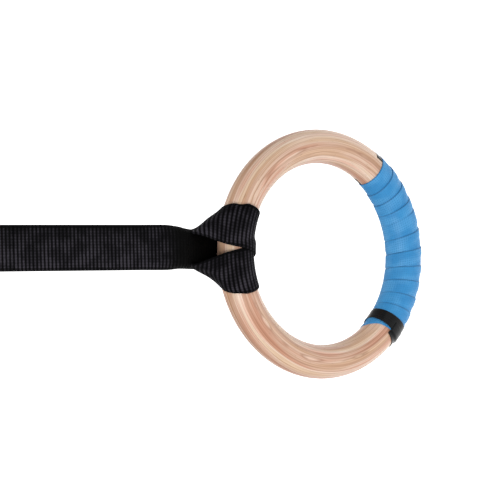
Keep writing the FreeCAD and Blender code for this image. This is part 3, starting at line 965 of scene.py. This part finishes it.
@dataclass
class Legs:
    """Shape of the two legs of the strap, which lie on each other and lean and curl as they reach the hitch.

    Heights are above the ring's centre. Layer is -1 for the front leg and 1 for the back one.
    """

    ring: Ring
    width: float = 41.0
    thickness: float = 1.8
    half_gap: float = 0.95
    bend_top: float = 178.0
    bend_bottom: float = 142.0
    slope: float = 0.3263
    shift: float = -1.45
    curl_length: float = 9.0
    curl: tuple[tuple[float, float], ...] = (
        (107.0, 0.0), (121.0, 0.7), (133.0, 1.7), (141.0, 1.85), (150.0, 1.75), (156.0, 1.6), (162.0, 1.41),
        (168.5, 1.13), (175.0, 0.81), (181.0, 0.58), (190.0, 0.3), (206.0, 0.001))
    hitch_top: float = 153.0
    tilt_top: float = 186.0
    twist_top: float = 345.0

    def middle(self, height: float) -> float:
        """How far back the middle between the legs lies.

        Args:
            height: Height above the ring's centre.

        Returns:
            The distance, in millimetres.
        """
        span = self.bend_top - self.bend_bottom
        t = min(1.0, max(0.0, (self.bend_top - height) / span))
        return self.slope * (span * (t ** 3 - t ** 4 / 2) + max(0.0, self.bend_bottom - height))

    def turned(self, height: float) -> float:
        """Angle that the edges are rolled back through, in radians."""
        return max(1e-3, rounded_table(self.curl, height, 5.0))

    def place(self, layer: int, c: float, height: float) -> Vector:
        """Middle surface of one leg.

        Args:
            layer: Which leg, -1 in front or 1 behind.
            c: How far across the strip.
            height: Height above the ring's centre.

        Returns:
            The point, in millimetres.
        """
        turn = self.turned(height)
        inner = self.width / 2 - self.curl_length
        over = max(0.0, abs(c) - inner) / self.curl_length * turn
        radius = self.curl_length / turn
        out = layer * self.half_gap * math.sqrt(1 + self.slope ** 2)
        x = min(abs(c), inner) + radius * math.sin(over) - out * math.sin(over)
        y = radius * (1 - math.cos(over)) + out * math.cos(over)
        aside = self.shift * smooth((166 - height) / 24) * smooth((height - 107) / 30)
        return Vector((math.copysign(x, c) + aside, self.middle(height) + y, self.ring.above(height)))

    def lengths(self, name: str, low: float, high: float, pitch: float,
                material: bpy.types.Material) -> bpy.types.Object:
        """Both legs between two heights, as one piece.

        Args:
            name: The piece's name.
            low: Bottom of the stretch.
            high: Top of the stretch.
            pitch: Distance between stations.
            material: Its finish.

        Returns:
            The new piece.
        """
        stations = spread(low, high, pitch)
        section = flat_section(self.width, self.thickness, 20)
        both = [
            strip(f"{name}_{layer}", lambda c, h, layer=layer: self.place(layer, c, h), stations, section,
                  # Painted shade: from 192 mm down to 162 mm above the centre the legs fade to near black, where
                  # they lean away from the light.
                  pull_and_shade=lambda h: smooth((192 - h) / 30))
            for layer in (-1, 1)
        ]
        piece = dress(joined(name, both), material)
        return piece

    def build(self, material: bpy.types.Material) -> list[bpy.types.Object]:
        """The stretch from the hitch up to the tilt's height, and the stretch from there up to the twist's height.

        Args:
            material: Its finish.

        Returns:
            The new pieces.
        """
        tilt = self.lengths("legs_at_tilt", self.hitch_top, self.tilt_top, 1.5, material)
        self.ring.above(self.hitch_top) * MM
        self.ring.above(self.tilt_top) * MM
        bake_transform(tilt)
        twist = self.lengths("legs_at_twist", self.tilt_top, self.twist_top, 2.0, material)
        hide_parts("front_leg_middle", "back_leg_middle")
        self.ring.above(self.tilt_top) * MM
        self.ring.above(self.twist_top) * MM
        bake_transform(twist)
        return [tilt, twist]


@dataclass
class GirthHitch:
    """The webbing's turns on the tube, its two lobes in front and the bar that crosses behind the legs.

    Each half is a bundle of rails. A rail runs from the middle of the bar, folds over to the near side, goes
    round the tube and climbs the far side to the end of a leg. The rows below give each rail's points before
    the tube, as (across, back, height above the ring's centre), for five rails from the inner edge outwards.
    """

    ring: Ring
    legs: Legs
    clearance: float = 0.3
    rows: dict[Lobe, tuple[tuple[tuple[float, float, float], ...], ...]] = field(default_factory=lambda: {
        Lobe.PLUS_X: (
            ((-1.45, 13.4, 149.0), (5.5, 13.5, 149.0), (10.0, 13.2, 149.0),
             (13.5, 9.0, 149.2), (13.2, 3.0, 148.6), (12.1, -1.6, 145.5),
             (9.8, -5.2, 139.0), (6.0, -8.7, 130.0), (2.0, -12.5, 118.5)),
            ((-1.45, 15.7, 142.0), (5.5, 15.7, 142.0), (10.7, 15.3, 142.0),
             (15.5, 11.5, 142.4), (16.2, 5.0, 141.5), (16.4, -1.2, 138.5),
             (16.9, -5.8, 132.5), (14.3, -9.6, 125.0), (11.4, -13.2, 115.5)),
            ((-1.45, 17.8, 135.0), (5.5, 17.8, 135.0), (11.2, 17.3, 135.0),
             (16.0, 13.4, 134.9), (20.8, 6.3, 133.6), (23.2, -0.3, 129.8),
             (23.9, -6.5, 123.5), (23.1, -11.2, 116.3), (21.0, -14.6, 109.2)),
            ((-1.45, 18.8, 128.0), (5.5, 18.7, 128.0), (12.7, 18.0, 127.8),
             (18.5, 15.0, 126.3), (26.7, 8.3, 123.5), (30.3, 1.0, 119.4),
             (33.3, -6.0, 114.3), (33.3, -11.6, 108.4), (30.6, -15.2, 103.1)),
            ((-1.45, 17.8, 121.0), (5.5, 17.7, 120.6), (14.0, 17.0, 119.0),
             (22.6, 15.4, 115.0), (31.6, 12.7, 109.5), (36.4, 6.2, 109.4),
             (38.4, -2.0, 110.2), (39.7, -9.0, 107.4), (38.6, -14.0, 102.5)),
        ),
        Lobe.MINUS_X: (
            ((-1.45, 13.4, 149.0), (-8.4, 13.5, 149.0), (-13.6, 13.2, 150.0),
             (-16.7, 9.0, 151.2), (-15.3, 3.0, 150.6), (-15.3, -1.6, 147.5),
             (-12.7, -5.2, 140.5), (-8.9, -8.7, 130.5), (-4.9, -12.5, 118.5)),
            ((-1.45, 15.7, 142.0), (-8.4, 15.7, 142.0), (-13.5, 15.3, 142.8),
             (-17.0, 11.5, 144.0), (-19.0, 5.0, 143.2), (-19.0, -1.2, 140.2),
             (-19.8, -5.8, 133.8), (-17.2, -9.6, 125.6), (-14.3, -13.2, 115.7)),
            ((-1.44, 17.8, 135.0), (-8.4, 17.8, 135.0), (-14.6, 17.3, 135.6),
             (-18.9, 13.4, 136.4), (-22.8, 6.3, 135.4), (-23.2, -0.3, 131.8),
             (-26.0, -6.5, 125.2), (-26.1, -11.2, 117.5), (-24.0, -14.6, 110.2)),
            ((-1.43, 18.8, 128.0), (-8.5, 18.7, 128.0), (-16.0, 18.0, 128.4),
             (-20.5, 15.0, 127.9), (-26.5, 8.3, 125.8), (-30.4, 1.0, 122.0),
             (-35.4, -6.0, 116.8), (-36.2, -11.6, 110.7), (-34.4, -15.2, 105.2)),
            ((-1.41, 17.8, 121.0), (-8.6, 17.7, 120.6), (-17.3, 17.0, 119.6),
             (-23.7, 15.4, 116.9), (-32.1, 12.7, 112.7), (-36.6, 6.2, 113.2),
             (-40.7, -2.0, 114.0), (-42.9, -9.0, 111.2), (-43.3, -14.0, 106.3)),
        ),
    })
    leave: float = 72.0            # tube angle where the near side's rails leave the tube
    touch: float = 288.0           # tube angle where the legs reach the far side
    inner: dict[Lobe, tuple[tuple[float, float], ...]] = field(default_factory=lambda: {
        Lobe.PLUS_X: ((72, 3.3), (90, 2.6), (115, 1.5), (141, 0.2), (180, -3.0), (225, -6.0), (270, -7.4),
                      (288, -7.4)),
        Lobe.MINUS_X: ((72, 2.5), (90, 3.4), (115, 4.3), (141, 5.7), (180, 10.0), (225, 13.5), (270, 15.3),
                       (288, 15.3)),
    })
    outer: dict[Lobe, tuple[tuple[float, float], ...]] = field(default_factory=lambda: {
        Lobe.PLUS_X: ((72, 25.5), (90, 26.2), (115, 26.1), (141, 26.0), (180, 23.6), (225, 19.0), (270, 15.3),
                      (288, 15.3)),
        Lobe.MINUS_X: ((72, -19.9), (90, -20.7), (115, -20.7), (141, -20.4), (180, -17.0), (225, -11.8),
                       (270, -7.4), (288, -7.4)),
    })
    band_length: float = 90.0
    wrap_length: float = 116.0
    cache: dict[tuple[Lobe, int], tuple[Rail, float]] = field(default_factory=dict)

    def edge_angle(self, lobe: Lobe, t: float, tube_angle: float) -> float:
        """Ring angle of a rail on the tube.

        Args:
            lobe: Which half of the hitch.
            t: Share of the width, 0 at the inner edge and 1 at the outer.
            tube_angle: Angle about the tube.

        Returns:
            The ring angle, in degrees.
        """
        low = rounded_table(self.inner[lobe], tube_angle, 12.0)
        high = rounded_table(self.outer[lobe], tube_angle, 12.0)
        return low + (high - low) * t

    def before_tube(self, lobe: Lobe, t: float) -> list[Vector]:
        """A rail's points from the bar to where it meets the tube.

        Args:
            lobe: Which half of the hitch.
            t: Share of the width, 0 at the inner edge and 1 at the outer.

        Returns:
            The points, in millimetres.
        """
        rows = self.rows[lobe]
        place = t * (len(rows) - 1)
        i = min(int(place), len(rows) - 2)
        s = place - i
        picks = [rows[max(0, min(len(rows) - 1, k))] for k in (i - 1, i, i + 1, i + 2)]
        points = []
        for a, b, c, d in zip(*(tuple(Vector(p) for p in row) for row in picks)):
            point = 0.5 * ((2 * b) + (c - a) * s + (2 * a - 5 * b + 4 * c - d) * s * s
                           + (3 * b - a - 3 * c + d) * s ** 3)
            points.append(Vector((point.x, point.y, self.ring.above(point.z))))
        return points

    def rail(self, lobe: Lobe, t: float) -> tuple[Rail, float]:
        """A rail, and the distance along it of the place where it meets the tube.

        Args:
            lobe: Which half of the hitch.
            t: Share of the width, 0 at the inner edge and 1 at the outer.

        Returns:
            The rail and the distance, in millimetres.
        """
        key = (lobe, round(t * 4000))
        if key in self.cache:
            return self.cache[key]
        points = self.before_tube(lobe, t)
        meet = len(points)
        r = self.ring.tube + self.clearance + self.legs.thickness / 2
        other = Lobe.MINUS_X if lobe is Lobe.PLUS_X else Lobe.PLUS_X
        for k in range(25):
            tube_angle = self.leave + (self.touch - self.leave) * k / 24
            angle = self.edge_angle(lobe, t, tube_angle)
            lift = 0.0
            if lobe is Lobe.PLUS_X:        # this half lies on the other one where they cross
                past = rounded_table(self.inner[other], tube_angle, 12.0) - angle
                lift = 2 * self.legs.half_gap * smooth((past * self.ring.radius * math.pi / 180 + 8.0) / 8.0)
            points.append(self.ring.on_tube(angle, tube_angle, r + lift))
        layer = 1 if lobe is Lobe.PLUS_X else -1
        across = lobe * (2 * t - 1) * self.legs.width / 2
        for height in (115.0, 121.0, 127.5, 134.0, 140.5, 147.0, self.legs.hitch_top):
            points.append(self.legs.place(layer, across, height))
        rail = Rail(points)
        self.cache[key] = rail, rail.mark(meet)
        return self.cache[key]

    def half(self, lobe: Lobe) -> bpy.types.Object:
        """One half of the hitch, from the middle of the bar to the end of its leg.

        Args:
            lobe: Which half of the hitch.

        Returns:
            The half's object.
        """
        width = self.legs.width
        middle_rail, middle_mark = self.rail(lobe, 0.5)
        band_mean, wrap_mean = middle_mark, middle_rail.length - middle_mark

        def place(c: float, a: float) -> Vector:
            """Middle surface of this half.

            Args:
                c: How far across the strip.
                a: How far along the strip.

            Returns:
                The point, in millimetres.
            """
            rail, mark = self.rail(lobe, c / width + 0.5)
            if a < 0:
                return rail.at(mark * (1 + a / self.band_length))
            return rail.at(mark + (rail.length - mark) * a / self.wrap_length)

        def weave(c: float, a: float) -> tuple[float, float]:
            """Flat coordinates, which meet the leg's above and the other half's at the bar.

            Args:
                c: How far across the strip.
                a: How far along the strip.

            Returns:
                The (across, along) pair, in millimetres.
            """
            rail, mark = self.rail(lobe, c / width + 0.5)
            if a < 0:
                f = -a / self.band_length
                run = -f * (mark + (band_mean - mark) * f ** 3)
            else:
                f = a / self.wrap_length
                run = f * (rail.length - mark + (wrap_mean - rail.length + mark) * f ** 3)
            return c * lobe, self.legs.hitch_top + wrap_mean - run

        stations = spread(-self.band_length, 0.0, 1.3)[:-1] + spread(0.0, self.wrap_length, 1.5)
        # The wrap's far half carries on the legs' painted shade.
        return strip(f"half_{lobe.name}", place, stations, flat_section(width, self.legs.thickness, 26), weave,
                     lambda a: smooth((a - self.wrap_length * 0.45) / 12))

    def build(self, material: bpy.types.Material) -> bpy.types.Object:
        """Both halves as one length of webbing.

        Args:
            material: Its finish.

        Returns:
            The new piece.
        """
        piece = joined("hitch_webbing", [self.half(lobe) for lobe in Lobe])
        dress(piece, material)
        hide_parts("right_wrap", "left_wrap", "right_band", "left_band", "cross_bar", "front_leg_end",
                    "back_leg_end")
        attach(piece, Body.HITCH)
        length = sum(self.rail(lobe, 0.5)[0].length for lobe in Lobe)
        return piece


@dataclass
class UpperStrap:
    """The strap above the twist: over the beam, sewn round the anchor bar, through the cam and rolled up."""

    ring: Ring
    legs: Legs
    beam_bend: float = 25.9
    bar_bend: float = 2.95
    stack_top: float = 478.0
    anchor: float = 428.0
    frame_bottom: float = 374.0
    pin: float = 398.0
    jog: float = 8.0
    roll_forward: float = 60.0
    roll_height: float = 465.0
    roll_radius: float = 47.4
    roll_core: float = 13.4
    roll_pitch: float = 2.0

    def piece(self, name: str, path: list[Vector], columns: int, pitch: float | None,
              material: bpy.types.Material, held: str) -> bpy.types.Object:
        """Webbing along a path in the (y, z) plane.

        Args:
            name: The piece's name.
            path: Points of its middle line.
            columns: Divisions across it.
            pitch: Distance between stations, or None to take the path's own points.
            material: Its finish.
            held: How a sheet of it is held; not used.

        Returns:
            The new piece.
        """
        rail = Rail(path, 1)
        stations = spread(0.0, rail.length, pitch) if pitch else rail.marks

        def place(c: float, a: float) -> Vector:
            """Middle surface of the webbing.

            Args:
                c: How far across the strip.
                a: How far along the strip.

            Returns:
                The point, in millimetres.
            """
            point = rail.at(a)
            if a > rail.length:
                point = point + (path[-1] - path[-2]).normalized() * (a - rail.length)
            if a < 0:
                point = point + (path[0] - path[1]).normalized() * -a
            return Vector((c, point.y, point.z))

        made = strip(name, place, stations, flat_section(self.legs.width, self.legs.thickness, columns),
                     lambda c, a: (c, a + self.legs.twist_top))
        dress(made, material)
        return made

    def front(self, material: bpy.types.Material) -> bpy.types.Object:
        """The front leg through the cam, and the spare length in a roll.

        Args:
            material: Its finish.

        Returns:
            The new piece.
        """
        up, gap = self.ring.above, self.legs.half_gap
        clamped, passing = -2.2, -5.15
        centre = (-self.roll_forward, up(self.roll_height))
        last = (passing, up(self.anchor + self.jog / 2))
        angle = tangent_angle(last, centre, self.roll_radius, 1)
        wound = 360 * (self.roll_radius - self.roll_core) / self.roll_pitch
        roll = arc(centre, self.roll_radius, angle, angle + wound, self.roll_pitch)
        corners = [
            (-gap, up(self.legs.twist_top)), (-gap, up(self.frame_bottom - 2 * self.jog)),
            (clamped, up(self.frame_bottom - self.jog / 2)), (clamped, up(self.pin + self.jog)),
            (passing, up(self.anchor - self.jog)), last, (roll[0].y, roll[0].z),
        ]
        path = fillet_path(corners, (24.0, 24.0, 8.0, 8.0, 12.0))[:-1] + roll
        made = self.piece("front_webbing", path, 8, None, material, "folded")
        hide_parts("front_leg", "spare_roll")
        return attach(made, Body.STRAP)

    def back(self, material: bpy.types.Material) -> bpy.types.Object:
        """The sewn end, the loop over the beam and the back leg.

        Args:
            material: Its finish.

        Returns:
            The new piece.
        """
        up, gap, bar = self.ring.above, self.legs.half_gap, self.bar_bend
        top, anchor = up(self.stack_top), up(self.anchor)
        jog_top = anchor + bar + self.jog
        base = (-gap, top + self.jog)
        back = (5.25, anchor + self.jog)
        start = tangent_angle(base, (0.0, 0.0), self.beam_bend, -1) % 360
        stop = tangent_angle(back, (0.0, 0.0), self.beam_bend, 1)
        over = arc((0.0, 0.0), self.beam_bend, start, stop)
        sewn = fillet_path(
            [(gap, top), (gap, jog_top), (bar, anchor + bar), (bar, anchor - bar), (-bar, anchor - bar),
             (-bar, anchor + bar), (-gap, jog_top), base, (over[0].y, over[0].z)],
            (5.9, 2.95, 2.95, 2.95, 2.95, 5.9, 16.0))[:-1]
        down = fillet_path(
            [(over[-1].y, over[-1].z), back, (back[0], up(self.frame_bottom)),
             (gap, up(self.frame_bottom - 3 * self.jog)), (gap, up(self.legs.twist_top))],
            (32.0, 32.0, 32.0))[1:]
        made = self.piece("back_webbing", sewn + over + down, 12, 2.0, material, "stretched")
        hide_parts("beam_loop", "loop_leg", "back_leg", "sewn_tail", "sewn_front", "anchor_end")
        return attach(made, Body.STRAP)

    def tie(self, material: bpy.types.Material) -> bpy.types.Object:
        """The hook-and-loop tie, whose tail lies over its start in front of the roll.

        Args:
            material: Its finish.

        Returns:
            The new piece.
        """
        low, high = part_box("tie_band")
        width, thick = (high.z - low.z) / MM, 1.6
        x = high.x / MM - 1.0
        near, far = low.y / MM + 1.0, high.y / MM - 1.0
        middle = (low.z + high.z) / 2 / MM
        lap = 12.0
        corners = [(-lap, near), (x, near), (x, far), (-x, far), (-x, near - thick - 0.1), (lap, near - thick - 0.1)]
        path = [Vector((p.y, p.z, 0.0)) for p in fillet_path(corners, (6.0, 4.0, 4.0, 6.0))]
        rail = Rail(path, 1)

        def place(c: float, a: float) -> Vector:
            """Middle surface of the tie."""
            point = rail.at(a)
            return Vector((point.x, point.y, middle + c))

        made = strip("tie_strap", place, spread(0.0, rail.length, 2.5), flat_section(width, thick, 6))
        dress(made, material)
        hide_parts("tie_band")
        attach(made, Body.STRAP)
        return made

    def stitches(self, material: bpy.types.Material) -> bpy.types.Object:
        """Single stitches of the box and its cross, raised on both faces of the sewn end.

        Args:
            material: Its finish.

        Returns:
            The new piece.
        """
        low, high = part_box("box_stitch")
        middle = (low + high) / 2
        half_x, half_z = (high.x - low.x) / 2 - 0.0006, (high.z - low.z) / 2 - 0.0006
        corners = [Vector((sx * half_x, 0, sz * half_z)) for sx, sz in ((-1, -1), (1, -1), (1, 1), (-1, 1))]
        lines = [(corners[i], corners[(i + 1) % 4]) for i in range(4)]
        lines += [(corners[0], corners[2]), (corners[1], corners[3])]
        bm = bmesh.new()
        for face_y in (low.y + 0.0002, high.y - 0.0002):
            for start, stop in lines:
                run = stop - start
                count = round(run.length / 0.0030)
                turn = run.to_track_quat("X", "Y").to_matrix().to_4x4()
                for k in range(count):
                    made = bmesh.ops.create_uvsphere(bm, u_segments=8, v_segments=5, radius=1.0)["verts"]
                    bmesh.ops.scale(bm, verts=made, vec=(0.00125, 0.00042, 0.00046))
                    bmesh.ops.transform(bm, verts=made, matrix=turn)
                    spot = middle + start + run * ((k + 0.5) / count)
                    bmesh.ops.translate(bm, verts=made, vec=Vector((spot.x, face_y, spot.z)))
        for face in bm.faces:
            face.smooth = True
        made_piece = dress(finished("stitches", bm), material)
        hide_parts("box_stitch")
        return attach(made_piece, Body.STRAP)


@dataclass
class CamBuckle:
    """The buckle's hard parts, which keep their CAD shape and get their finishes."""

    finishes: dict[str, Metal] = field(default_factory=lambda: {
        "buckle_frame": Metal("steel_pressed_zinc_plated", "9FA1A3", "B7B8B6", 0.34, grain=(1500.0, 1500.0, 180.0)),
        "anchor_bar": Metal("steel_turned_riveted", "8E8F90", "A9A9A7", 0.30, grain=(200.0, 1500.0, 1500.0)),
        "cam_lever": Metal("zinc_die_cast_black_coat", "1B1C1F", "2B2C2F", 0.48, metallic=0.35,
                           grain=(1100.0, 1100.0, 1100.0), depth=0.00005),
        "cam_spring": Metal("spring_wire_hard_drawn", "6E7072", "8B8B88", 0.36),
    })

    def build(self, nodes: dict[str, bpy.types.Object]) -> list[bpy.types.Object]:
        """Assigns the finishes to the frame's nodes.

        Args:
            nodes: The frame's objects, by node.

        Returns:
            The new pieces.
        """
        dressed = []
        for name, finish in self.finishes.items():
            material = finish.make()
            for node in [name] + (["cam_pin"] if name == "anchor_bar" else []):
                nodes[node].data.materials.clear()
                nodes[node].data.materials.append(material)
                dressed.append(nodes[node])
        return dressed


# ---------------------------------------------------------------- studio


@dataclass(frozen=True)
class SoftLight:
    """One soft area light, placed from the ring's centre."""

    name: str
    place: tuple[float, float, float]
    size: float
    power: float

    def build(self, target: Vector) -> None:
        """Adds the light, turned to its target.

        Args:
            target: What the light points at.
        """
        data = bpy.data.lights.new(self.name, "AREA")
        data.shape, data.size, data.energy = "DISK", self.size, self.power
        lamp = bpy.data.objects.new(self.name, data)
        lamp.location = target + Vector(self.place)
        lamp.rotation_euler = (target - lamp.location).to_track_quat("-Z", "Y").to_euler()
        bpy.context.scene.collection.objects.link(lamp)


@dataclass(frozen=True)
class Studio:
    """Floor, light and camera round the hanging ring."""

    floor_below: float = 1.1
    extent: float = 12.0
    pool: float = 1.9             # how far behind the strap the floor's lit pool is centred
    lit: float = 1.3              # how far the pool is even, and where it has faded
    dim: float = 3.2
    surround: float = 0.39        # strength of the even light from all round
    away: tuple[float, float, float] = (-0.030, -0.783, 0.622)     # from the ring's centre to the camera
    level: tuple[float, float, float] = (-0.031, -0.621, -0.783)   # the view's right, at the ring
    distance: float = 2.956
    lens: float = 226.0
    aside: float = 1.290          # degrees that the camera looks past the ring, across and up
    lift: float = 0.072
    lights: tuple[SoftLight, ...] = (
        SoftLight("key", (-0.8, -1.3, 1.7), 1.2, 31.0),
        SoftLight("fill", (1.3, -1.6, 0.5), 1.6, 3.0),
        SoftLight("back", (0.4, 1.6, 0.9), 1.6, 8.0),
    )

    def build(self, ring: Ring) -> None:
        """Sets the floor, the lights, the surroundings and the camera.

        Args:
            ring: The ring's measures.
        """
        target = ring.centre * MM
        bm = bmesh.new()
        bmesh.ops.create_grid(bm, x_segments=1, y_segments=1, size=self.extent)
        bmesh.ops.translate(bm, verts=bm.verts[:], vec=(0.0, 0.0, target.z - self.floor_below))
        floor = finished("floor", bm)
        # The floor glows: painted light, a pool brightest behind the strap that fades to grey further out.
        finish = Finish("floor_matt_white", base_color=linear("F7F7F7"), roughness=0.9, specular_ior_level=0.1,
                        emission_strength=1.0)
        run = finish.add("VectorMath.DISTANCE", finish.add("TexCoord", out="Object"),
                         (0.0, self.pool, target.z - self.floor_below))
        fall = finish.add("MapRange.SMOOTHSTEP", run, self.lit, self.dim)
        floor.data.materials.append(
            finish.wired(emission_color=finish.add("ValToRGB", fall, stops=[(0.0, "FFFFFF"), (1.0, "AAAAAA")])))
        floor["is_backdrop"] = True
        for light in self.lights:
            light.build(target)
        world = bpy.data.worlds.new("surroundings")
        world.use_nodes = True
        background = world.node_tree.nodes["Background"]
        background.inputs["Color"].default_value = linear("FFFFFF")
        background.inputs["Strength"].default_value = self.surround
        bpy.context.scene.world = world
        bpy.context.scene.view_settings.view_transform = "Standard"

        away = Vector(self.away).normalized()
        right = Vector(self.level)
        right = (right - away * right.dot(away)).normalized()
        up = away.cross(right)
        a, e = math.radians(self.aside), math.radians(-self.lift)
        back = away * math.cos(a) + right * math.sin(a)
        right = right * math.cos(a) - away * math.sin(a)
        back, up = back * math.cos(e) + up * math.sin(e), up * math.cos(e) - back * math.sin(e)
        data = bpy.data.cameras.new("camera")
        data.lens, data.sensor_width, data.clip_end = self.lens, 36.0, 50.0
        camera = bpy.data.objects.new("camera", data)
        turn = Matrix((right, up, back)).transposed().to_4x4()
        camera.matrix_world = Matrix.Translation(target + away * self.distance) @ turn
        bpy.context.scene.collection.objects.link(camera)
        bpy.context.scene.camera = camera


def main() -> None:
    """Builds and dresses every piece in order and reports each."""
    ring = Ring()
    legs = Legs(ring)
    webbing = WovenWebbing().make()
    tapes = WoundTapes(ring)
    vinyl = GlossTape().make()
    upper = UpperStrap(ring, legs)
    tie = WovenWebbing("tie_hook_and_loop", rib=0.0011, row=0.0011, width=0.016, dark="0D0D0F", lit="2E2D32").make()
    Studio().build(ring)
    pieces = [
        WoodenRing(ring).build(),
        tapes.grip(Overgrip().make()),
        tapes.finishing(vinyl),
        tapes.starting(vinyl),
        GirthHitch(ring, legs).build(webbing),
        *legs.build(webbing),
        upper.front(webbing),
        upper.back(webbing),
        upper.tie(tie),
        upper.stitches(BondedThread().make()),
        *CamBuckle().build(frame["nodes"]),
    ]
    for piece in pieces:
        LOG.info("%s: %d faces", piece.name, len(piece.data.polygons))
    boxes = {"cad": CAD_BOX, "visual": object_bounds()}
    {name: [list(corner) for corner in box] for name, box in boxes.items()}


if __name__ == "__main__":
    logging.basicConfig(level=logging.INFO)
    main()
